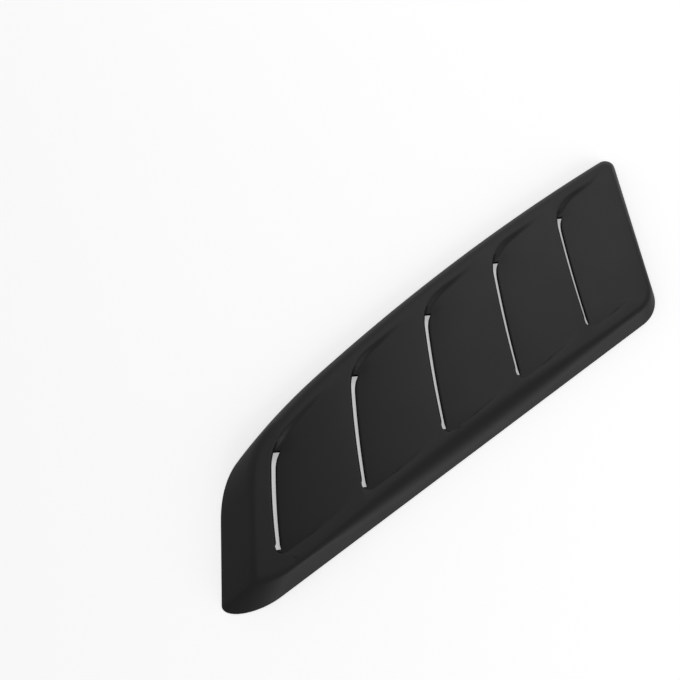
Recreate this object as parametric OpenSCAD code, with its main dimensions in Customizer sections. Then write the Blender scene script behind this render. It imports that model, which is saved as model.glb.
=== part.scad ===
// Louvred bonnet vent, moulded in one piece: a low hollow shell with sunk louvres.
// X runs from the ramped front end to the steep rear end, Y from the straight inner
// side to the bowed outer side, and Z up from the flat rim. Millimetres.

/* [Outline] */
// Overall length of the rim along X
length = 443; // [410:1:480]
// Overall width of the rim along Y
width = 127.6; // [115:0.2:140]
// Angle between the long sides and the front end
front_angle = 54; // [50:0.5:58]
// Angle between the long sides and the rear end
rear_angle = 53.3; // [50:0.1:58]
// Radius of the bowed outer side
outer_bow_r = 1650; // [1300:25:2500]
// Distance of the widest place in front of the rear tip
widest_from_tip = 48.5; // [30:0.5:70]
// Radius of the outer side where it bends in towards the front end
outer_bend_r = 430; // [350:10:700]
// Distance of the start of this bend behind the front tip
bend_from_front = 145; // [123:1:163]
// Corner radius of the rim between the front end and the inner side, on the front end
nose_front_r = 11; // [9:0.5:16]
// The same corner's radius on the inner side
nose_side_r = 21; // [14:0.5:28]
// Corner radius of the rim between the front end and the outer side, on the front end
brow_front_r = 85; // [60:1:90]
// The same corner's radius on the outer side
brow_side_r = 60; // [45:1:75]
// Corner radius of the rim between the rear end and the outer side
rear_outer_r = 7.5; // [6:0.5:12]
// Corner radius of the rim between the rear end and the inner side
rear_inner_r = 33.5; // [28:0.5:45]

/* [Section] */
// Height of the shoulder above the rim
shoulder_h = 8.5; // [7.5:0.25:12]
// Rise of the top from the shoulder to the middle of the width
crown = 1.2; // [0.4:0.1:2.5]
// Wall thickness of the moulding
wall = 2; // [1.6:0.1:2.4]
// Slope of the inner side, as the distance that the shoulder stands back from the rim
inner_slope = 6.2; // [4:0.2:8]
// The same distance on the outer side
outer_slope = 4.6; // [3.6:0.2:7]
// The same distance at the rear end
rear_slope = 4; // [3:0.2:7]
// The same distance at the ramped front end
front_slope = 20; // [14:0.5:24]
// Rounding of the shoulder near the two ends of the inner side
inner_soft_end = 3; // [2:0.25:5]
// Rounding of the shoulder half way along the inner side
inner_soft_mid = 9; // [5:0.25:9.5]
// Rounding of the shoulder on the outer side
outer_soft = 7; // [4:0.25:8]
// Rounding of the shoulder at the rear end
rear_soft = 3; // [2.5:0.25:5]
// Rounding of the shoulder at the front end
front_soft = 6; // [4:0.25:8]

/* [Louvres] */
// Distance between louvres along X
pitch = 65.2; // [60:0.2:70]
// Distance of the first lip from the rear end of the rim, along X
rear_land = 66.5; // [60:0.5:72]
// How much steeper than the rear end the lips stand, in degrees
lip_turn = 1.3; // [0:0.1:3]
// Smallest land between the front shoulder and a lip
front_land = 3; // [2:0.5:10]
// Land between the end of a recess and the next lip
land = 7.4; // [5:0.2:14]
// Land between the end of the last recess and the rear shoulder
tail_land = 3; // [2:0.5:8]
// Distance from the inner rim to the recesses
inner_frame = 16; // [15:0.2:22]
// Distance from the outer rim to the recesses
outer_frame = 15.2; // [14:0.2:18]
// Depth of a recess below the top, at its lip
dip = 4; // [3.4:0.1:4.6]
// Curve of a recess's floor towards its end, as a share of its depth
recess_curve = 0.55; // [0:0.05:0.7]
// Bow of a lip towards the front end
lip_bow = 1.8; // [0:0.1:3]
// Corner radius of a recess on the inner side
recess_inner_r = 4; // [3:0.5:6]
// Corner radius of a recess on the outer side
recess_outer_r = 28; // [20:1:34]
// Draft of a recess's wall, from its top edge to its foot
draft = 0.3; // [0.2:0.05:0.6]
// Width over which the side walls of a recess fade out at its end
side_fade = 7; // [2:0.5:10]
// Opening of a louvre along X, between its lip and its blade, at its inner end
gap_inner = 4.2; // [3.2:0.1:4.8]
// The same opening at its outer end
gap_outer = 4.8; // [3.6:0.1:5.4]
// Distance of an opening's ends from the round corners, along the lip
gap_end = 0.6; // [0.4:0.1:4]
// Thickness of a lip and of a blade's edge
edge_t = 1.4; // [1:0.1:1.6]

/* [Hidden] */
// Points of the skin round each corner of the outline and along its two ends
n_nose = 8;
n_front = 6;
n_brow = 6;
n_heel = 7;
n_rear = 5;
n_tip = 8;
n_across = n_nose + n_front + n_brow;
// Points round the shoulder's section, and rows of points on the front land
n_section = 5;
n_front_rows = 2;
// Intervals between an opening's two ends, and between a recess's two sides
n_gap = n_across - 6;
n_floor = n_across - 4;
// Part of the skirt that a shoulder's rounding may use, and the inside's share of the rounding
max_round = 0.85;
inside_round = 0.6;
// Smallest corner radius of a shoulder, and smallest flat strip beside a recess
keep_r = 4;
strip = 1;
// How far the underside of a lip stands back from its edge, as a share of the wall
lip_back = 0.2;
// How evenly the rows are spaced along the rim, from as at the recesses to quite even
evenness = 0.6;

y_in = -width / 2;
x_widest = length / 2 - widest_from_tip;
bow_centre = [x_widest, width / 2 - outer_bow_r];
x_bend = bend_from_front - length / 2;
bend_y = bow_centre[1] + sqrt(pow(outer_bow_r, 2) - pow(x_bend - x_widest, 2));
bend_centre = mix([x_bend, bend_y], bow_centre, outer_bend_r / outer_bow_r);
lip_angle = rear_angle + lip_turn;
tip_drop = pow(widest_from_tip - rear_outer_r, 2) / (2 * outer_bow_r);
tip_shift = (width - tip_drop - rear_outer_r) / tan(rear_angle)
            - rear_outer_r / sin(rear_angle) + rear_outer_r;
nose = corner_curve([cos(front_angle), sin(front_angle)], [0, 0], [1, 0],
                    nose_front_r, nose_side_r, 40);
// Where the front and rear ends would meet the inner side without their corners
x_front = -length / 2 - min([for (p = nose) p[0]]);
x_rear = length / 2 - tip_shift;

function unit(v) = v / norm(v);
function mix(a, b, t) = a + (b - a) * t;
function front_x(y, inset = 0) = x_front + (y - y_in) / tan(front_angle) + inset / sin(front_angle);
function rear_x(y, inset = 0) = x_rear + (y - y_in) / tan(rear_angle) - inset / sin(rear_angle);
function outer_y(x, inset = 0) =
    let (centre = x < x_bend ? bend_centre : bow_centre,
         r = (x < x_bend ? outer_bend_r : outer_bow_r) - inset)
    centre[1] + sqrt(pow(r, 2) - pow(x - centre[0], 2));
function meet_front(inset_f, inset_o, y = 0, n = 9) =
    n == 0 ? [front_x(y, inset_f), y]
           : meet_front(inset_f, inset_o, outer_y(front_x(y, inset_f), inset_o), n - 1);
function meet_rear(inset_r, inset_o, y = 0, n = 6) =
    n == 0 ? [rear_x(y, inset_r), y]
           : meet_rear(inset_r, inset_o, outer_y(rear_x(y, inset_r), inset_o), n - 1);

// Height of the top surface: a crown across the width
function top_z(p) =
    let (middle = (y_in + outer_y(p[0])) / 2,
         half = (outer_y(p[0]) - y_in) / 2,
         side = (p[1] - middle) / half)
    shoulder_h + crown * (1 - side * side);

// A round corner of n steps at b, between the directions to a and to c: a circle's arc
// where its radii on the two sides, ra and rc, are the same, and else part of an ellipse
function corner_curve(a, b, c, ra, rc, n) =
    let (u = unit(a - b),
         v = unit(c - b),
         half = acos(u * v) / 2,
         p0 = b + u * ra / tan(half),
         p1 = b + v * rc / tan(half))
    [for (i = [0:n])
        let (t = i / n, k0 = pow(1 - t, 2), k1 = 2 * sin(half) * t * (1 - t), k2 = t * t)
        (k0 * p0 + k1 * b + k2 * p1) / (k0 + k1 + k2)];

// The four corners of the outline at given distances inside the rim, listed as
// inner side, rear end, outer side and front end
function corner_arcs(inset) =
    let (step = 20,
         radii = [for (r = [nose_front_r, nose_side_r]) max(r - inset[0], keep_r)],
         heel_r = max(rear_inner_r - inset[0], keep_r),
         tip_r = max(rear_outer_r - inset[2], keep_r),
         y = y_in + inset[0],
         fi = [front_x(y, inset[3]), y],
         ri = [rear_x(y, inset[1]), y],
         ro = meet_rear(inset[1], inset[2]),
         fo = meet_front(inset[3], inset[2]),
         ro_next = [ro[0] - step, outer_y(ro[0] - step, inset[2])],
         fo_next = [fo[0] + step, outer_y(fo[0] + step, inset[2])])
    [corner_curve(fo, fi, ri, radii[0], radii[1], n_nose),
     corner_curve(fi, ri, ro, heel_r, heel_r, n_heel),
     corner_curve(ri, ro, ro_next, tip_r, tip_r, n_tip),
     corner_curve(fo_next, fo, fi, brow_side_r - inset[2], brow_front_r - inset[2], n_brow)];

// Louvres are counted from the rear. A place in a recess is w straight behind its lip's
// line and q along it, from the corner where that line meets the recess's inner side.
along = [cos(lip_angle), sin(lip_angle)];
behind = [sin(lip_angle), -cos(lip_angle)];
function lip_corner(i) =
    [x_rear - rear_land - i * pitch + inner_frame / tan(lip_angle), y_in + inner_frame];
// Where the line w behind lip i meets a circle of radius r about the bow's centre
function reach(i, w, r) =
    let (d = lip_corner(i) + w * behind - bow_centre)
    -d * along + sqrt(pow(d * along, 2) - d * d + r * r);

// Start of the round corners along the lip, and the sides of a recess moved in by inset
side_r = outer_bow_r - outer_frame;
inner_turn = recess_inner_r / tan(lip_angle / 2);
function outer_turn(i) = reach(i, recess_outer_r, side_r - recess_outer_r);
function inner_q(w, inset) =
    let (r = recess_inner_r)
    w < r + (r - inset) * cos(lip_angle)
        ? inner_turn - sqrt(max(0, pow(r - inset, 2) - pow(r - w, 2)))
        : (w * cos(lip_angle) + inset) / sin(lip_angle);
function outer_q(i, w, inset) =
    let (r = recess_outer_r,
         middle = lip_corner(i) + outer_turn(i) * along + r * behind,
         turned = -unit(middle - bow_centre) * behind)
    w < r - (r - inset) * turned
        ? outer_turn(i) + sqrt(max(0, pow(r - inset, 2) - pow(r - w, 2)))
        : reach(i, w, side_r - inset);

// As many louvres as fit behind the front shoulder
function lip_end(i) = lip_corner(i) + reach(i, 0, side_r) * along;
function front_room(i) =
    min([for (p = [lip_corner(i), lip_end(i)]) p[0] - front_x(p[1], front_slope + front_soft)]);
function count_louvres(n = 1) = front_room(n) < front_land ? n : count_louvres(n + 1);
louvres = count_louvres();

// Rows of points behind a lip: the wall's foot, the opening and the round corners, then
// the rest of the recess up to its end
near_rows = concat([0, draft / sin(lip_angle)],
                   [for (step = [0.3, 0.6, 1, 1.5, 2.2, 3.2]) gap_inner * step]);
far_rows = [0.2, 0.45, 0.72, 1];
n_near = len(near_rows);
n_louvre_rows = n_near + len(far_rows);
gap_row = 4;
function recess_len(i) =
    i > 0 ? pitch - land : rear_land - (rear_slope + rear_soft) / sin(rear_angle) - tail_land;
function row_d(i, k) =
    k < n_near ? near_rows[k] : mix(near_rows[n_near - 1], recess_len(i), far_rows[k - n_near]);
// How much further back a row stands at the outer end of its lip
function spare(k) =
    (gap_outer - gap_inner) * (k <= gap_row ? (k < 2 ? 0 : near_rows[k] / gap_inner)
                                            : max(0, 1 - (k - gap_row) / 4));
n_long = n_front_rows + louvres * n_louvre_rows + 1;
function louvre_of(c) = louvres - 1 - floor((c - n_front_rows - 1) / n_louvre_rows);
function row_of(c) = (c - n_front_rows - 1) % n_louvre_rows;

// Where the rows meet a side of the rim, given the side's two ends and its lips
function rim_stops(first, last, lips) =
    [for (c = [0:n_long])
        c == 0 ? first :
        c == n_long ? last :
        c <= n_front_rows ? mix(first, lips[louvres - 1], c / (n_front_rows + 1)) :
        let (i = louvre_of(c), k = row_of(c))
        mix(lips[i], i > 0 ? lips[i - 1] : last,
            mix(row_d(i, k) / (recess_len(i) + land), k / n_louvre_rows, evenness))];
rim_arcs = corner_arcs([0, 0, 0, 0]);
inner_stops = rim_stops(rim_arcs[0][n_nose][0], rim_arcs[1][0][0],
    [for (i = [0:louvres - 1]) lip_corner(i)[0] - inner_frame / tan(lip_angle)]);
outer_stops = rim_stops(rim_arcs[3][0][0], rim_arcs[2][n_tip][0],
    [for (i = [0:louvres - 1]) (lip_corner(i) + reach(i, 0, outer_bow_r) * along)[0]]);
function share(stops, c) = (stops[c] - stops[0]) / (stops[n_long] - stops[0]);

// A side's X at row c on a line between a and b: evenly shared near its two ends, and on
// the slanted row itself, lean away from the rim, in between
function side_x(stops, c, a, b, lean) =
    let (f = share(stops, c))
    mix(mix(a, b, f), stops[c] + lean / tan(lip_angle), sqrt(max(0, sin(180 * f))));

// The outline inside the rim: inner side, rear end, outer side, front end. The inner side
// stands back by extra half way along.
function ring(inset, extra = 0) =
    let (arcs = corner_arcs(inset),
         nose = arcs[0],
         heel = arcs[1],
         tip = arcs[2],
         brow = arcs[3])
    concat(
        [for (c = [0:n_long - 1])
            let (y = inset[0] + extra * pow(sin(180 * share(inner_stops, c)), 2))
            [side_x(inner_stops, c, nose[n_nose][0], heel[0][0], y), y_in + y]],
        heel,
        [for (m = [1:n_rear - 1]) mix(heel[n_heel], tip[0], m / n_rear)],
        tip,
        [for (m = [1:n_long - 1])
            let (x = side_x(outer_stops, n_long - m, brow[0][0], tip[n_tip][0], -inset[2]))
            [x, outer_y(x, inset[2])]],
        brow,
        [for (m = [1:n_front - 1]) mix(brow[n_brow], nose[0], m / n_front)],
        [for (m = [0:n_nose - 1]) nose[m]]);
n_ring = 2 * (n_long + n_across);
// Place in a ring of row c's end u, or of point u of the front or the rear end
function ring_place(c, u) =
    u == 0 ? c :
    c == n_long ? n_long + u :
    u == n_across ? 2 * n_long + n_across - c :
    2 * n_long + 2 * n_across - u;

// How far a skin stands inside the rim, t below the outer skin and at height z
slopes = [inner_slope, rear_slope, outer_slope, front_slope];
softness = [inner_soft_end, rear_soft, outer_soft, front_soft];
function skirt_inset(slope, t, z) =
    let (a = atan2(shoulder_h, slope)) t / sin(a) + z / tan(a);
function skirt_insets(t, z) = [for (slope = slopes) skirt_inset(slope, t, z)];
// A shoulder's rounding ends short of the recesses
function shoulder_insets(t) =
    let (ridge = skirt_insets(t, shoulder_h - t),
         rounding = t > 0 ? inside_round : 1,
         limit = [inner_frame, length, outer_frame, length])
    [for (s = [0:3]) min(ridge[s] + rounding * softness[s], limit[s] - t - strip)];
function inner_extra(t) =
    let (rounding = t > 0 ? inside_round : 1, edge = shoulder_insets(t)[0])
    min(rounding * (inner_soft_mid - inner_soft_end), inner_frame - t - strip - edge);

// Plan of row k of louvre i on the skin t below the top, without its two ends
function is_open(u) = u > 3 && u < n_across - 3;
function row_plan(i, k, t) =
    let (d = row_d(i, k),
         s = d / recess_len(i),
         w = d * sin(lip_angle) - (k < 2 ? t : 0),
         w_out = w + spare(k) * sin(lip_angle),
         foot = draft + side_fade * s * s - t,
         v0 = k == 0 ? inner_turn + gap_end / 2 : inner_q(w, foot),
         v1 = k == 0 ? outer_turn(i) - gap_end / 2 : outer_q(i, w_out, foot),
         even = (v1 - v0) / n_floor,
         spread = max(0, (k - gap_row) / (n_louvre_rows - 1 - gap_row)),
         g0 = mix(inner_turn + gap_end, v0 + even, spread),
         g1 = mix(outer_turn(i) - gap_end, v1 - even, spread),
         qs = concat([inner_q(w, -t), v0],
                     [for (m = [0:n_gap]) mix(g0, g1, m / n_gap)],
                     [v1, outer_q(i, w_out, -t)]),
         y0 = lip_corner(i)[1],
         y1 = lip_end(i)[1])
    [for (u = [1:n_across - 1])
        let (f = min(max((u - 3) / (n_across - 6), 0), 1),
             back = k == 0 && is_open(u) ? -lip_back * t : mix(w, w_out, f),
             p = lip_corner(i) + back * behind + qs[u - 1] * along,
             m = min(max((p[1] - y0) / (y1 - y0), 0), 1))
        p - [4 * m * (1 - m) * lip_bow * (1 - s), 0]];
// Height of the same points
function row_z(i, k, u, p, t) =
    let (s = row_d(i, k) / recess_len(i),
         depth = k == 0 || u == 1 || u == n_across - 1 ? 0 : dip * (1 - s) * (1 - recess_curve * s),
         thick = t > 0 && is_open(u) && (k == 0 || k == gap_row) ? edge_t : t)
    top_z(p) - depth - thick;

// The points of one skin: the skirt from the rim up to the shoulder's end, then the rows
function high_point(p, t) = [p[0], p[1], top_z(p) - t];
function skin_points(t) =
    let (rim = ring(skirt_insets(t, 0)),
         ridge = ring(skirt_insets(t, shoulder_h - t)),
         edge = ring(shoulder_insets(t), inner_extra(t)),
         sections = [for (j = [0:n_ring - 1])
             let (r = [rim[j][0], rim[j][1], 0],
                  s = high_point(ridge[j], t),
                  e = high_point(edge[j], t),
                  a = mix(s, r, min(max_round, norm(e - s) / norm(r - s))))
             concat([r], [for (k = [0:n_section])
                 let (v = k / n_section) mix(mix(a, s, v), mix(s, e, v), v)])],
         front = [for (u = [1:n_across - 1]) edge[ring_place(0, u)]],
         rear = [for (u = [1:n_across - 1]) edge[ring_place(n_long, u)]],
         front_lip = row_plan(louvres - 1, 0, t),
         last_free = n_louvre_rows - 3,
         tail = row_plan(0, last_free, t),
         tail_end = row_d(0, last_free),
         tail_span = recess_len(0) + tail_land - tail_end)
    concat(
        [for (k = [0:n_skirt - 1]) for (j = [0:n_ring - 1]) sections[j][k]],
        [for (c = [1:n_long - 1])
            let (i = louvre_of(c),
                 k = row_of(c),
                 plan = c <= n_front_rows ? mix(front, front_lip, c / (n_front_rows + 1))
                      : i == 0 && k > last_free
                            ? mix(tail, rear, (row_d(0, k) - tail_end) / tail_span)
                            : row_plan(i, k, t))
            for (u = [1:n_across - 1])
                let (p = plan[u - 1])
                [p[0], p[1], c <= n_front_rows ? top_z(p) - t : row_z(i, k, u, p, t)]]);

n_skirt = n_section + 2;
n_skin = n_skirt * n_ring + (n_long - 1) * (n_across - 1);
function at(c, u) =
    c > 0 && c < n_long && u > 0 && u < n_across
        ? n_skirt * n_ring + (c - 1) * (n_across - 1) + u - 1
        : (n_skirt - 1) * n_ring + ring_place(c, u) % n_ring;
function in_gap(c, u) = c > n_front_rows && row_of(c) < gap_row && u >= 3 && u < n_across - 3;

skirt_faces = [for (k = [0:n_skirt - 2]) for (j = [0:n_ring - 1]) for (h = [0, 1])
    let (a = k * n_ring + j, b = k * n_ring + (j + 1) % n_ring)
    h == 0 ? [a, a + n_ring, b] : [b, a + n_ring, b + n_ring]];
top_faces = [for (c = [0:n_long - 1]) for (u = [0:n_across - 1]) if (!in_gap(c, u)) for (h = [0, 1])
    h == 0 ? [at(c, u), at(c, u + 1), at(c + 1, u)]
           : [at(c + 1, u), at(c, u + 1), at(c + 1, u + 1)]];
// Edges of the two skins that are joined: round the rim, and round each opening
rim_edges = [for (j = [0:n_ring - 1]) [j, (j + 1) % n_ring]];
gap_edges = [for (i = [0:louvres - 1])
    let (c0 = n_front_rows + 1 + i * n_louvre_rows,
         c1 = c0 + gap_row,
         u0 = 3,
         u1 = n_across - 3)
    each concat(
        [for (u = [u0:u1 - 1]) [at(c0, u), at(c0, u + 1)]],
        [for (c = [c0:c1 - 1]) [at(c, u1), at(c + 1, u1)]],
        [for (u = [u0:u1 - 1]) [at(c1, u + 1), at(c1, u)]],
        [for (c = [c0:c1 - 1]) [at(c + 1, u0), at(c, u0)]])];

module louvre_shell() {
    outside = concat(skirt_faces, top_faces);
    inside = [for (f = outside) [f[2] + n_skin, f[1] + n_skin, f[0] + n_skin]];
    joins = [for (e = concat(rim_edges, gap_edges)) for (h = [0, 1])
        h == 0 ? [e[0], e[1], e[1] + n_skin] : [e[0], e[1] + n_skin, e[0] + n_skin]];
    color("#1d1d1f")
        polyhedron(
            points = concat(skin_points(0), skin_points(wall)),
            faces = concat(outside, inside, joins));
}

louvre_shell();
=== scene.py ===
"""Dresses the louvred bonnet vent: a fine smooth skin over the moulded shell, a satin black
plastic, a white floor, soft light and the camera.

Lengths in the shape functions are millimetres, in the part's frame: X towards the steep rear
end, Y towards the bowed outer side, Z up from the flat rim. The mesh is scaled to metres."""

import math

import bpy
import numpy as np
from mathutils import Matrix, Vector


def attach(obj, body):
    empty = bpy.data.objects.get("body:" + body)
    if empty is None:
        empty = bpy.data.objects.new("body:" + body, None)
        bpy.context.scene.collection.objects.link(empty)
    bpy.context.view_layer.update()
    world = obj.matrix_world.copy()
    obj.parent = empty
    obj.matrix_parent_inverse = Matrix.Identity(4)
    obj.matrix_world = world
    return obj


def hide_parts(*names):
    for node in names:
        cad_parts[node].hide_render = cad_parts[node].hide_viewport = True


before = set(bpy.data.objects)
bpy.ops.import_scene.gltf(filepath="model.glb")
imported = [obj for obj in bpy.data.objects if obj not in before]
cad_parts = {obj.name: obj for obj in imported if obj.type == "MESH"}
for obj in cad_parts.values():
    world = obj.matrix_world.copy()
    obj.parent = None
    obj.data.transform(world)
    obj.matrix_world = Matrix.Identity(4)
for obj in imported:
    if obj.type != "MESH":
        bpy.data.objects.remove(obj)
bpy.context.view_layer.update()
MM = 0.001

# Outline of the rim: its outer side bows, and bends more near the front
LENGTH = 443.0
WIDTH = 127.6
FRONT_ANGLE = math.radians(54)
REAR_ANGLE = math.radians(53.3)
LIP_ANGLE = math.radians(54.6)
BOW_R = 1650.0
WIDEST_FROM_TIP = 48.5
BEND_R = 430.0
BEND_FROM_FRONT = 145.0
# Corner radii, as on the end and on the side
NOSE_R, BROW_R, TIP_R, HEEL_R = (11.0, 21.0), (85.0, 60.0), (7.5, 7.5), (33.5, 33.5)

# Section: slopes of the skirt and roundings of the shoulder, as inner, rear, outer and front side
SHOULDER_H = 8.5
CROWN = 1.2
WALL = 2.0
SLOPES = (6.2, 4.0, 4.6, 19.0)
SOFTNESS = (3.0, 3.0, 7.0, 2.5)
# Rounding of the inner shoulder half way along
INNER_SOFT_MID = 9.0
# Most of the skirt that a rounding takes, and its share on the inside
MAX_ROUND = 0.85
INSIDE_ROUND = 0.6
# Smallest corner of the outline, and flat left between shoulder and recess
KEEP_R = 4.0
STRIP = 1.0

# Louvres, counted from the rear
LOUVRES = 5
PITCH = 65.2
REAR_LAND = 66.5
LAND = 7.4
TAIL_LAND = 3.0
INNER_FRAME = 16.0
OUTER_FRAME = 14.4
# Depth under the lip, and how the floor rises from there
DIP = 4.0
RECESS_CURVE = 0.55
LIP_BOW = 1.8
INNER_R = 4.0
OUTER_R = 42.0
# Width of the walls: the lip's, the inner side's growth along it, and the outer side's
DRAFT = 0.3
SIDE_FADE = 7.0
SIDE_WALL = 3.6
WALL_RISE, WALL_RUN = 2.5, 8.0
# Wall widths from and over which a hard wall becomes a soft slope
SOFT_FROM, SOFT_OVER = 0.6, 1.4
EDGE_R = 0.35
# Slot, as its width at both ends along X, its flare, where the lip's turn and the slot end,
# and the fade of its taper into the recess
GAP_INNER, GAP_OUTER = 3.7, 4.3
FLARE, FLARE_FROM = 0.4, 0.85
TURN_TO, OPEN_TO = 13.4, 12.6
TAPER_FADE = 12.0
GAP_END = 0.6
# The slot's edges: their thickness, and how far the two lean into it underneath
EDGE_T = 1.4
LIP_LEAN, BLADE_LEAN, LEAN_STEPS = 0.7, 0.5, 2

# Divisions of the skin: corners and ends of the outline, section, front land, recess sides,
# and the spacing of rows along the rim and of points in them
N_NOSE, N_FRONT, N_BROW = 20, 16, 20
N_HEEL, N_REAR, N_TIP = 18, 18, 20
N_ACROSS = N_NOSE + N_FRONT + N_BROW
N_SECTION = 12
N_FRONT_ROWS = 6
N_FAR = 10
N_SIDE = 8
EVENNESS = 0.28
MIN_STEP, MIN_ROOM, APART = 0.36, 0.1, 0.01
ROW_FADE = 55.0

Y_IN = -WIDTH / 2
X_WIDEST = LENGTH / 2 - WIDEST_FROM_TIP
BOW_CENTRE = np.array([X_WIDEST, WIDTH / 2 - BOW_R])
X_BEND = BEND_FROM_FRONT - LENGTH / 2
BEND_AT = np.array([X_BEND, BOW_CENTRE[1] + math.sqrt(BOW_R ** 2 - (X_BEND - X_WIDEST) ** 2)])
BEND_CENTRE = BEND_AT + (BOW_CENTRE - BEND_AT) * BEND_R / BOW_R
SIN, COS, TAN = math.sin(LIP_ANGLE), math.cos(LIP_ANGLE), math.tan(LIP_ANGLE)
ALONG = np.array([COS, SIN])
BEHIND = np.array([SIN, -COS])
TURN_IN = OUTER_R - math.sqrt(OUTER_R ** 2 - TURN_TO ** 2)
INNER_TURN = INNER_R / math.tan(LIP_ANGLE / 2)

# Rows of the skin behind a lip: its rounded edge, the wall's foot, the opening with the
# rounded edge of its blade, and the round corners
GAP_W = GAP_INNER * SIN
GAP_MORE = (GAP_OUTER - GAP_INNER) * SIN
ROUND = EDGE_R * np.array([1.0, 0.62, 0.32, 0.1])
LIP_ROWS = [-1.4, *-ROUND, 0.0]
FOOT_ROWS = [DRAFT, *(DRAFT + EDGE_R - ROUND[1:]), DRAFT + EDGE_R, 1.1, 1.7, 2.5]
BLADE_ROWS = [GAP_W, *(GAP_W + EDGE_R * np.array([0.1, 0.35])), GAP_W + EDGE_R]
CORNER_ROWS = [4.6, 5.8, 7.4, 9.2, 11.4, 14.0]
NEAR_ROWS = [*LIP_ROWS, *FOOT_ROWS, *BLADE_ROWS, *CORNER_ROWS]
LIP_ROW = len(LIP_ROWS) - 1
FOOT_ROW = LIP_ROW + 5
CORNER_FROM = LIP_ROWS[2]
GAP_ROW = len(LIP_ROWS) + len(FOOT_ROWS)
N_ROWS = len(NEAR_ROWS) + N_FAR
N_LONG = N_FRONT_ROWS + LOUVRES * N_ROWS + 1
GAP_FROM, GAP_TO = N_SIDE + 1, N_ACROSS - N_SIDE - 1


def mix(a, b, t):
    return a + (b - a) * t


def smooth(t):
    t = np.clip(t, 0, 1)
    return t * t * (3 - 2 * t)


def unit(v):
    return v / np.linalg.norm(v)


def corner_curve(a, b, c, ra, rc, n):
    """A round corner at b: a circle's arc where its two radii are the same, or an ellipse's."""
    u, v = unit(a - b), unit(c - b)
    half = math.acos(float(u @ v)) / 2
    p0, p1 = b + u * ra / math.tan(half), b + v * rc / math.tan(half)
    t = (np.arange(n + 1) / n)[:, None]
    k0, k1, k2 = (1 - t) ** 2, 2 * math.sin(half) * t * (1 - t), t ** 2
    return (k0 * p0 + k1 * b + k2 * p1) / (k0 + k1 + k2)


NOSE = corner_curve(np.array([math.cos(FRONT_ANGLE), math.sin(FRONT_ANGLE)]), np.zeros(2),
                    np.array([1.0, 0.0]), *NOSE_R, 40)
X_FRONT = -LENGTH / 2 - NOSE[:, 0].min()
TIP_DROP = (WIDEST_FROM_TIP - TIP_R[0]) ** 2 / (2 * BOW_R)
X_REAR = LENGTH / 2 - ((WIDTH - TIP_DROP - TIP_R[0]) / math.tan(REAR_ANGLE)
                       - TIP_R[0] / math.sin(REAR_ANGLE) + TIP_R[0])


def front_x(y, inset=0.0):
    return X_FRONT + (y - Y_IN) / math.tan(FRONT_ANGLE) + inset / math.sin(FRONT_ANGLE)


def rear_x(y, inset=0.0):
    return X_REAR + (y - Y_IN) / math.tan(REAR_ANGLE) - inset / math.sin(REAR_ANGLE)


def outer_y(x, inset=0.0):
    bow = BOW_CENTRE[1] + np.sqrt((BOW_R - inset) ** 2 - (x - BOW_CENTRE[0]) ** 2)
    bend = BEND_CENTRE[1] + np.sqrt((BEND_R - inset) ** 2 - np.minimum(x - BEND_CENTRE[0], 0) ** 2)
    return np.where(x < X_BEND, bend, bow)


def meet(end_x, inset_end, inset_outer):
    """Where a slanted end meets the bowed outer side."""
    y = 0.0
    for _ in range(9):
        y = float(outer_y(end_x(y, inset_end), inset_outer))
    return np.array([end_x(y, inset_end), y])


def top_z(p):
    """Height of the top surface at plan points: a crown across the width."""
    side_y = outer_y(p[:, 0])
    side = (p[:, 1] - (Y_IN + side_y) / 2) / ((side_y - Y_IN) / 2)
    return SHOULDER_H + CROWN * (1 - side * side)


# Outline inside the rim

def corner_arcs(inset):
    """Nose, heel, tip and brow at distances inside the inner, rear, outer and front side."""
    step = 20.0  # from a corner to where the bowed side's direction is taken
    y = Y_IN + inset[0]
    fi = np.array([front_x(y, inset[3]), y])
    ri = np.array([rear_x(y, inset[1]), y])
    ro = meet(rear_x, inset[1], inset[2])
    fo = meet(front_x, inset[3], inset[2])
    ro_next = np.array([ro[0] - step, outer_y(ro[0] - step, inset[2])])
    fo_next = np.array([fo[0] + step, outer_y(fo[0] + step, inset[2])])
    nose, heel, tip, brow = ([max(r - inset[side], KEEP_R) for r in radii] for radii, side in
                             ((NOSE_R, 0), (HEEL_R, 0), (TIP_R, 2), (BROW_R[::-1], 2)))
    return (corner_curve(fo, fi, ri, *nose, N_NOSE), corner_curve(fi, ri, ro, *heel, N_HEEL),
            corner_curve(ri, ro, ro_next, *tip, N_TIP), corner_curve(fo_next, fo, fi, *brow, N_BROW))


# Recesses: a place in one is w straight behind its lip's line and q along it

def lip_corner(i):
    return np.array([X_REAR - REAR_LAND - i * PITCH + INNER_FRAME / TAN, Y_IN + INNER_FRAME])


def side_circle(i):
    """Centre and radius of the outer side beside recess i: the last one lies at the bend."""
    return (BEND_CENTRE, BEND_R) if i == LOUVRES - 1 else (BOW_CENTRE, BOW_R)


def reach(i, w, inset):
    """Where the line w behind lip i meets the outer side moved in by inset."""
    centre, r = side_circle(i)
    d = lip_corner(i) + w * BEHIND - centre
    along = float(d @ ALONG)
    return -along + math.sqrt(along ** 2 - float(d @ d) + (r - inset) ** 2)


def outer_turn(i):
    return reach(i, OUTER_R, OUTER_FRAME + OUTER_R)


def turn_in(i, q):
    """How far the lip curves in at q, where it follows the recess's outer corner."""
    past = np.clip(q - outer_turn(i), 0, TURN_TO)
    return OUTER_R - np.sqrt(OUTER_R ** 2 - past ** 2)


def outer_middle(i):
    return lip_corner(i) + outer_turn(i) * ALONG + OUTER_R * BEHIND


def inner_q(w, inset):
    """Inner side of a recess moved in by inset, at the row w behind the lip."""
    if w < INNER_R + (INNER_R - inset) * COS:
        return INNER_TURN - math.sqrt(max(0.0, (INNER_R - inset) ** 2 - (INNER_R - w) ** 2))
    return (w * COS + inset) / SIN


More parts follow.
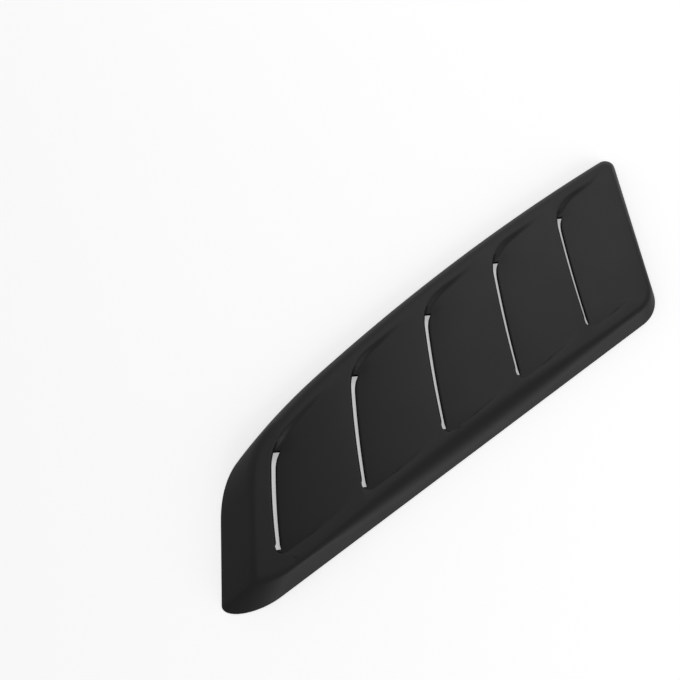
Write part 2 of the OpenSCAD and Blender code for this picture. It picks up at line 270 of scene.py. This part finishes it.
def outer_q(i, w, inset):
    """Outer side of recess i moved in by inset, at the row w behind the lip."""
    turned = -float(unit(outer_middle(i) - side_circle(i)[0]) @ BEHIND)
    if w < OUTER_R - (OUTER_R - inset) * turned:
        return outer_turn(i) + math.sqrt(max(0.0, (OUTER_R - inset) ** 2 - (OUTER_R - w) ** 2))
    return reach(i, w, OUTER_FRAME + inset)


def recess_len(i):
    tail = (SLOPES[1] + SOFTNESS[1]) / math.sin(REAR_ANGLE) + TAIL_LAND
    return PITCH - LAND if i else REAR_LAND - tail


def row_w(i, k):
    """Place of row k behind lip i."""
    if k < len(NEAR_ROWS):
        return NEAR_ROWS[k]
    return mix(NEAR_ROWS[-1], recess_len(i) * SIN, (k - len(NEAR_ROWS) + 1) / N_FAR)


def inside(i, p):
    """Distance of plan points inside the round-cornered outline of recess i."""
    w = (p - lip_corner(i)) @ BEHIND
    low = p[:, 1] - (Y_IN + INNER_FRAME)
    centre, r = side_circle(i)
    high = r - OUTER_FRAME - np.linalg.norm(p - centre, axis=1)
    d = np.minimum(np.minimum(w, low), high)
    m = p - (lip_corner(i) + INNER_TURN * ALONG + INNER_R * BEHIND)
    sector = (m @ ALONG <= 0) & (m[:, 0] <= 0)
    d = np.where(sector, INNER_R - np.linalg.norm(m, axis=1), d)
    m = p - outer_middle(i)
    out = unit(outer_middle(i) - centre)
    sector = (m @ ALONG >= 0) & (m @ np.array([out[1], -out[0]]) <= 0)
    return np.where(sector, OUTER_R - np.linalg.norm(m, axis=1), d)


def quarter(t):
    """Fall of a rounded edge of radius 1, t short of its end."""
    return 1 - np.sqrt(np.clip(1 - t * t, 0, 1))


def softness(foot):
    """Share of a soft slope in a wall whose foot is that wide."""
    return smooth((foot - SOFT_FROM) / SOFT_OVER)


def drop(d, depth, foot):
    """Fall of the surface d inside a recess's outline: a rounded wall, or a soft slope."""
    e = min(EDGE_R, depth / 2) + 1e-6
    wall = mix(e, depth - e, np.clip(d / np.maximum(foot, 1e-6), 0, 1))
    hard = np.where(d <= -e, 0, np.where(d < 0, e * quarter((d + e) / e), wall))
    low = depth - e * quarter((foot + e - d) / e)
    hard = np.where(d >= foot, np.where(d < foot + e, low, depth), hard)
    soft = depth * smooth((d + e) / (foot + 2 * e))
    return mix(hard, soft, softness(foot))


def side_levels(foot):
    """Insets of the points across a recess's side wall, whose foot is that wide."""
    e = EDGE_R
    hard = np.array([-e, -0.62 * e, -0.25 * e, 0, foot * 0.6, foot, foot + 0.4 * e, foot + e])
    even = np.linspace(-e, foot + e, N_SIDE)
    return mix(hard, even, softness(foot))


def row_shares(w, k):
    """Shares of the opening's taper and of the lip's turn that row k takes."""
    fade = float(1 - smooth((w - GAP_W - EDGE_R) / TAPER_FADE))
    if k > GAP_ROW:
        return fade, fade
    return (w - DRAFT) / (GAP_W - DRAFT) if k > FOOT_ROW else 0.0, 1.0


def row_points(i, k, t):
    """Points of row k of louvre i on the skin t below the top, without its two ends."""
    w = row_w(i, k)
    s = max(w, 0) / SIN / recess_len(i)
    foot = DRAFT + SIDE_FADE * s ** 3
    wide = mix(DRAFT, SIDE_WALL, float(smooth((w - NEAR_ROWS[FOOT_ROW]) / WALL_RISE)))
    here = w - t * min(1.0, max(0.0, (GAP_ROW - k) / (GAP_ROW - FOOT_ROW)))
    share, turned = row_shares(w, k)
    there = here + share * (GAP_MORE + FLARE) + turned * TURN_IN
    spare = GAP_END * (0.1 + 0.8 * np.arange(N_SIDE) / N_SIDE) * (1 - smooth((w - 1) / 2))
    turning = max(here, CORNER_FROM - t) if k else here
    low = [inner_q(turning, x - t) + g for x, g in zip(side_levels(foot), spare)]
    high = [outer_q(i, there, min(x, w) - t) - g for x, g in zip(side_levels(wide), spare)]
    if k > FOOT_ROW:
        high = np.array(high) - APART * np.arange(N_SIDE)
        high = np.maximum(high, outer_turn(i) + OPEN_TO + MIN_ROOM * np.arange(N_SIDE, 0, -1))
    spread = smooth((k - GAP_ROW) / (N_ROWS - GAP_ROW))
    n = GAP_TO - GAP_FROM
    even = (high[-1] - low[-1]) / (n + 2)
    room = mix(MIN_ROOM, even, spread)
    g0 = max(mix(INNER_TURN + GAP_END, low[-1] + even, spread), low[-1] + room)
    g1 = min(mix(outer_turn(i) + OPEN_TO, high[-1] - even, spread), high[-1] - room)
    q = np.array([*low, *np.linspace(g0, g1, n + 1), *high[::-1]])
    u = np.arange(1, N_ACROSS)
    is_open = (u > GAP_FROM) & (u < GAP_TO)
    f = np.clip((u - GAP_FROM) / n, 0, 1)
    bend = np.where(u > GAP_TO, TURN_IN, turn_in(i, q))
    taper = GAP_MORE * f + FLARE * smooth((f - FLARE_FROM) / (1 - FLARE_FROM))
    back = here + turned * bend + share * taper
    lean = smooth(np.minimum(f, 1 - f) * n / LEAN_STEPS)
    if t and k == LIP_ROW:
        back[is_open] = (bend + LIP_LEAN * lean)[is_open]
    if t and k == GAP_ROW:
        back[is_open] -= (BLADE_LEAN * lean)[is_open]
    p = lip_corner(i) + back[:, None] * BEHIND + q[:, None] * ALONG
    depth = DIP * (1 - s) * (1 - RECESS_CURVE * s)
    beside = smooth((q - outer_turn(i) - OPEN_TO) / WALL_RUN)
    fall = drop(inside(i, p) + t, depth, mix(foot, SIDE_WALL, beside))
    thick = np.full(len(q), t)
    blade = w - GAP_W
    if t and k == LIP_ROW:
        fall[is_open] = 0
    if t and (k == LIP_ROW or k == GAP_ROW):
        thick[is_open] = EDGE_T
    if not t and 0 <= blade < EDGE_R:
        fall[is_open] += EDGE_R * quarter((EDGE_R - blade) / EDGE_R)
    y0, y1 = lip_corner(i)[1], (lip_corner(i) + reach(i, 0, OUTER_FRAME) * ALONG)[1]
    m = np.clip((p[:, 1] - y0) / (y1 - y0), 0, 1)
    p[:, 0] -= 4 * m * (1 - m) * LIP_BOW * (1 - s)
    return p, fall + thick


# Rim, shoulder and skin

def rim_stops(first, last, lips):
    """X of the rows along a side of the rim, where each recess has its share."""
    stops = [mix(first, lips[-1], c / (N_FRONT_ROWS + 1)) for c in range(N_FRONT_ROWS + 1)]
    for i in reversed(range(LOUVRES)):
        end = lips[i - 1] if i else last
        span = recess_len(i) + LAND
        for k in range(N_ROWS):
            share = mix(row_w(i, k) / SIN / span, k / N_ROWS, EVENNESS)
            stops.append(mix(lips[i], end, share))
    return np.maximum([*stops, last], first + MIN_STEP * np.arange(N_LONG + 1))


RIM = corner_arcs((0, 0, 0, 0))
INNER_STOPS = rim_stops(RIM[0][-1][0], RIM[1][0][0],
                        [lip_corner(i)[0] - INNER_FRAME / TAN for i in range(LOUVRES)])
OUTER_STOPS = rim_stops(RIM[3][0][0], RIM[2][-1][0],
                        [(lip_corner(i) + reach(i, 0, 0) * ALONG)[0] for i in range(LOUVRES)])


def side_x(stops, a, b, lean):
    """X of the rows along a side: evenly shared near its ends, on the slanted rows between."""
    f = (stops - stops[0]) / (stops[-1] - stops[0])
    from_end = np.minimum(stops - stops[0], stops[-1] - stops)
    return mix(mix(a, b, f), stops + lean / TAN, smooth(from_end / ROW_FADE))


def ring(inset, extra=0.0):
    """The outline inside the rim: inner side, rear end, outer side, front end."""
    nose, heel, tip, brow = corner_arcs(inset)
    f = (INNER_STOPS - INNER_STOPS[0]) / (INNER_STOPS[-1] - INNER_STOPS[0])
    y = inset[0] + extra * np.sin(np.pi * f) ** 2
    inner = np.stack([side_x(INNER_STOPS, nose[-1][0], heel[0][0], y), Y_IN + y], 1)
    x = side_x(OUTER_STOPS, brow[0][0], tip[-1][0], -inset[2])
    outer = np.stack([x, outer_y(x, inset[2])], 1)
    rear = [mix(heel[-1], tip[0], m / N_REAR) for m in range(1, N_REAR)]
    front = [mix(brow[-1], nose[0], m / N_FRONT) for m in range(1, N_FRONT)]
    return np.concatenate([inner[:-1], heel, rear, tip, outer[-2:0:-1], brow, front, nose[:-1]])


N_RING = 2 * (N_LONG + N_ACROSS)


def ring_place(c, u):
    """Place in a ring of row c's end u, or of point u of the front or the rear end."""
    if u == 0:
        return c
    if c == N_LONG:
        return N_LONG + u
    if u == N_ACROSS:
        return 2 * N_LONG + N_ACROSS - c
    return 2 * N_LONG + 2 * N_ACROSS - u


def skirt_insets(t, z):
    angles = [math.atan2(SHOULDER_H, s) for s in SLOPES]
    return [t / math.sin(a) + z / math.tan(a) for a in angles]


def shoulder_insets(t):
    ridge = skirt_insets(t, SHOULDER_H - t)
    share = INSIDE_ROUND if t else 1
    limit = (INNER_FRAME, LENGTH, OUTER_FRAME, LENGTH)
    return [min(r + share * s, m - t - STRIP) for r, s, m in zip(ridge, SOFTNESS, limit)]


def skin_points(t):
    """Points of one skin: the skirt from the rim to the shoulder's end, then the rows."""
    share = INSIDE_ROUND if t else 1
    ends = shoulder_insets(t)
    extra = min(share * (INNER_SOFT_MID - SOFTNESS[0]), INNER_FRAME - t - STRIP - ends[0])
    rim, ridge, edge = (ring(skirt_insets(t, 0)), ring(skirt_insets(t, SHOULDER_H - t)),
                        ring(ends, extra))
    r = np.column_stack([rim, np.zeros(N_RING)])
    s = np.column_stack([ridge, top_z(ridge) - t])
    e = np.column_stack([edge, top_z(edge) - t])
    part = np.linalg.norm(e - s, axis=1) / np.linalg.norm(r - s, axis=1)
    a = mix(s, r, np.minimum(MAX_ROUND, part)[:, None])
    rows = [r]
    for k in range(N_SECTION + 1):
        v = k / N_SECTION
        rows.append(mix(mix(a, s, v), mix(s, e, v), v))
    front = edge[[ring_place(0, u) for u in range(1, N_ACROSS)]]
    rear = edge[[ring_place(N_LONG, u) for u in range(1, N_ACROSS)]]
    first, _ = row_points(LOUVRES - 1, 0, t)
    for c in range(1, N_FRONT_ROWS + 1):
        p = mix(front, first, c / (N_FRONT_ROWS + 1))
        rows.append(np.column_stack([p, top_z(p) - t]))
    last_free = N_ROWS - N_FAR // 2
    for i in reversed(range(LOUVRES)):
        for k in range(N_ROWS):
            p, fall = row_points(i, k, t)
            if i == 0 and k == last_free:
                tail, tail_w = p, row_w(0, k)
            if i == 0 and k > last_free:
                share = (row_w(0, k) - tail_w) / ((recess_len(0) + TAIL_LAND) * SIN - tail_w)
                p = mix(tail, rear, share)
            rows.append(np.column_stack([p, top_z(p) - fall]))
    return np.concatenate(rows)


N_SKIRT = N_SECTION + 2
N_SKIN = N_SKIRT * N_RING + (N_LONG - 1) * (N_ACROSS - 1)


def at(c, u):
    """Index of a point of the grid under the top: row c, point u across."""
    if 0 < c < N_LONG and 0 < u < N_ACROSS:
        return N_SKIRT * N_RING + (c - 1) * (N_ACROSS - 1) + u - 1
    return (N_SKIRT - 1) * N_RING + ring_place(c, u) % N_RING


def in_gap(c, u):
    """Whether a face of the grid lies in an opening."""
    k = (c - N_FRONT_ROWS - 1) % N_ROWS
    return c > N_FRONT_ROWS and LIP_ROW <= k < GAP_ROW and GAP_FROM <= u < GAP_TO


def skin_faces():
    faces = []
    for k in range(N_SKIRT - 1):
        for j in range(N_RING):
            a, b = k * N_RING + j, k * N_RING + (j + 1) % N_RING
            faces.append((a, b, b + N_RING, a + N_RING))
    for c in range(N_LONG):
        for u in range(N_ACROSS):
            if not in_gap(c, u):
                faces.append((at(c, u), at(c + 1, u), at(c + 1, u + 1), at(c, u + 1)))
    return faces


def joined_edges():
    """Edges where the two skins are joined: round the rim, and round each opening."""
    edges = [(j, (j + 1) % N_RING) for j in range(N_RING)]
    for i in range(LOUVRES):
        c0 = N_FRONT_ROWS + 1 + i * N_ROWS + LIP_ROW
        c1 = c0 + GAP_ROW - LIP_ROW
        edges += [(at(c0, u), at(c0, u + 1)) for u in range(GAP_FROM, GAP_TO)]
        edges += [(at(c, GAP_TO), at(c + 1, GAP_TO)) for c in range(c0, c1)]
        edges += [(at(c1, u + 1), at(c1, u)) for u in range(GAP_FROM, GAP_TO)]
        edges += [(at(c + 1, GAP_FROM), at(c, GAP_FROM)) for c in range(c0, c1)]
    return edges


def make_shell():
    outside = skin_faces()
    inside_faces = [tuple(v + N_SKIN for v in reversed(f)) for f in outside]
    joins = [(b, a, a + N_SKIN, b + N_SKIN) for a, b in joined_edges()]
    points = np.concatenate([skin_points(0), skin_points(WALL)]) * MM
    mesh = bpy.data.meshes.new("vent_shell")
    mesh.from_pydata(points.tolist(), [], outside + inside_faces + joins)
    mesh.update()
    mesh.polygons.foreach_set("use_smooth", [True] * len(mesh.polygons))
    mesh.set_sharp_from_angle(angle=math.radians(50))
    shell = bpy.data.objects.new("vent_shell", mesh)
    bpy.context.scene.collection.objects.link(shell)
    return shell


# Materials

def new_material(name):
    m = bpy.data.materials.new(name)
    m.use_nodes = True
    return m, m.node_tree.nodes, m.node_tree.links


PLASTIC, PLASTIC_SPECULAR, PLASTIC_GLOSS = (0.011, 0.011, 0.0115, 1), 0.28, (0.42, 0.5)
GRAIN_SCALE, GRAIN_DETAIL, GRAIN_STRENGTH, GRAIN_DEPTH = 2600, 3, 0.12, 0.0001
UNEVEN_SCALE = 35
FLOOR_WHITE, FLOOR_ROUGHNESS, FLOOR_GLOW = (0.94, 0.94, 0.94, 1), 0.9, 0.42


def black_plastic():
    """Satin moulded plastic: a fine even grain, and slightly uneven gloss."""
    m, nodes, links = new_material("black_plastic")
    shader = nodes["Principled BSDF"]
    shader.inputs["Base Color"].default_value = PLASTIC
    shader.inputs["Specular IOR Level"].default_value = PLASTIC_SPECULAR
    place = nodes.new("ShaderNodeTexCoord")
    grain = nodes.new("ShaderNodeTexNoise")
    grain.inputs["Scale"].default_value = GRAIN_SCALE
    grain.inputs["Detail"].default_value = GRAIN_DETAIL
    bump = nodes.new("ShaderNodeBump")
    bump.inputs["Strength"].default_value = GRAIN_STRENGTH
    bump.inputs["Distance"].default_value = GRAIN_DEPTH
    uneven = nodes.new("ShaderNodeTexNoise")
    uneven.inputs["Scale"].default_value = UNEVEN_SCALE
    gloss = nodes.new("ShaderNodeMapRange")
    gloss.inputs["To Min"].default_value, gloss.inputs["To Max"].default_value = PLASTIC_GLOSS
    links.new(place.outputs["Object"], grain.inputs["Vector"])
    links.new(place.outputs["Object"], uneven.inputs["Vector"])
    links.new(grain.outputs["Fac"], bump.inputs["Height"])
    links.new(bump.outputs["Normal"], shader.inputs["Normal"])
    links.new(uneven.outputs["Fac"], gloss.inputs["Value"])
    links.new(gloss.outputs["Result"], shader.inputs["Roughness"])
    return m


def white_floor():
    """A white floor that stays pale under the part, and keeps some of its shadow."""
    m, nodes, links = new_material("white_floor")
    shader = nodes["Principled BSDF"]
    shader.inputs["Base Color"].default_value = FLOOR_WHITE
    shader.inputs["Roughness"].default_value = FLOOR_ROUGHNESS
    shader.inputs["Specular IOR Level"].default_value = 0.0
    shader.inputs["Emission Color"].default_value = (1, 1, 1, 1)
    path = nodes.new("ShaderNodeLightPath")
    glow = nodes.new("ShaderNodeMath")
    glow.operation = "MULTIPLY"
    glow.inputs[1].default_value = FLOOR_GLOW
    links.new(path.outputs["Is Camera Ray"], glow.inputs[0])
    links.new(glow.outputs["Value"], shader.inputs["Emission Strength"])
    return m


# Stage

CAMERA_AT = Vector((-0.3644629, -0.3233429, 0.6015385))
CAMERA_HEADING = math.radians(39.904)
CAMERA_DOWN = math.radians(50.437)
CAMERA_ROLL = math.radians(-0.412)
FOCAL_PIXELS, FRAME_PIXELS, SENSOR = 1175.4, 680.0, 36.0
FLOOR_HALF, FLOOR_Z = 2.0, -0.0002
# Brightness of the studio near the horizon and overhead, and the heights between them
HORIZON, ZENITH, CLEAR_FROM, CLEAR_TO = 0.8, 0.36, 0.05, 0.55
# Each lamp's name, place, size and watts: they face the part
LAMPS = (("key", (0.8, 0.65, 1.2), (0.9, 0.9), 3.8), ("side", (0.3, -1.1, 0.35), (1.2, 0.5), 5))


def make_camera():
    camera = bpy.data.cameras.new("camera")
    camera.sensor_fit = "HORIZONTAL"
    camera.sensor_width = SENSOR
    camera.lens = FOCAL_PIXELS / FRAME_PIXELS * SENSOR
    camera.clip_start = 0.01
    ahead = Vector((math.sin(CAMERA_HEADING), math.cos(CAMERA_HEADING), 0))
    look = ahead * math.cos(CAMERA_DOWN) - Vector((0, 0, math.sin(CAMERA_DOWN)))
    right = Vector((math.cos(CAMERA_HEADING), -math.sin(CAMERA_HEADING), 0))
    up = right.cross(look)
    across = right * math.cos(CAMERA_ROLL) + up * math.sin(CAMERA_ROLL)
    upwards = up * math.cos(CAMERA_ROLL) - right * math.sin(CAMERA_ROLL)
    matrix = Matrix((across, upwards, -look)).transposed().to_4x4()
    matrix.translation = CAMERA_AT
    holder = bpy.data.objects.new("camera", camera)
    holder.matrix_world = matrix
    bpy.context.scene.collection.objects.link(holder)
    bpy.context.scene.camera = holder


def make_floor():
    h = FLOOR_HALF
    mesh = bpy.data.meshes.new("floor")
    corners = [(-h, -h, 0), (h, -h, 0), (h, h, 0), (-h, h, 0)]
    mesh.from_pydata(corners, [], [(0, 1, 2, 3)])
    floor = bpy.data.objects.new("floor", mesh)
    floor.location.z = FLOOR_Z
    floor.data.materials.append(white_floor())
    bpy.context.scene.collection.objects.link(floor)


def area_light(name, place, size, power):
    light = bpy.data.lights.new(name, "AREA")
    light.shape = "RECTANGLE"
    light.size, light.size_y = size
    light.energy = power
    holder = bpy.data.objects.new(name, light)
    holder.location = place
    turn = (-Vector(place)).to_track_quat("-Z", "Y")
    holder.rotation_euler = turn.to_euler()
    bpy.context.scene.collection.objects.link(holder)


def make_world():
    """A plain grey studio, brighter towards the horizon than overhead."""
    world = bpy.data.worlds.new("studio")
    bpy.context.scene.world = world
    world.use_nodes = True
    nodes, links = world.node_tree.nodes, world.node_tree.links
    place = nodes.new("ShaderNodeTexCoord")
    split = nodes.new("ShaderNodeSeparateXYZ")
    level = nodes.new("ShaderNodeMapRange")
    level.interpolation_type = "SMOOTHSTEP"
    level.inputs["From Min"].default_value = CLEAR_FROM
    level.inputs["From Max"].default_value = CLEAR_TO
    level.inputs["To Min"].default_value = HORIZON
    level.inputs["To Max"].default_value = ZENITH
    links.new(place.outputs["Generated"], split.inputs["Vector"])
    links.new(split.outputs["Z"], level.inputs["Value"])
    background = nodes["Background"]
    background.inputs["Color"].default_value = (1, 1, 1, 1)
    links.new(level.outputs["Result"], background.inputs["Strength"])


shell = make_shell()
shell.data.materials.append(black_plastic())
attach(shell, "root")
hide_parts("louvre_shell")

make_floor()
make_camera()
make_world()
for lamp in LAMPS:
    area_light(*lamp)

bpy.context.scene.view_settings.view_transform = "Standard"
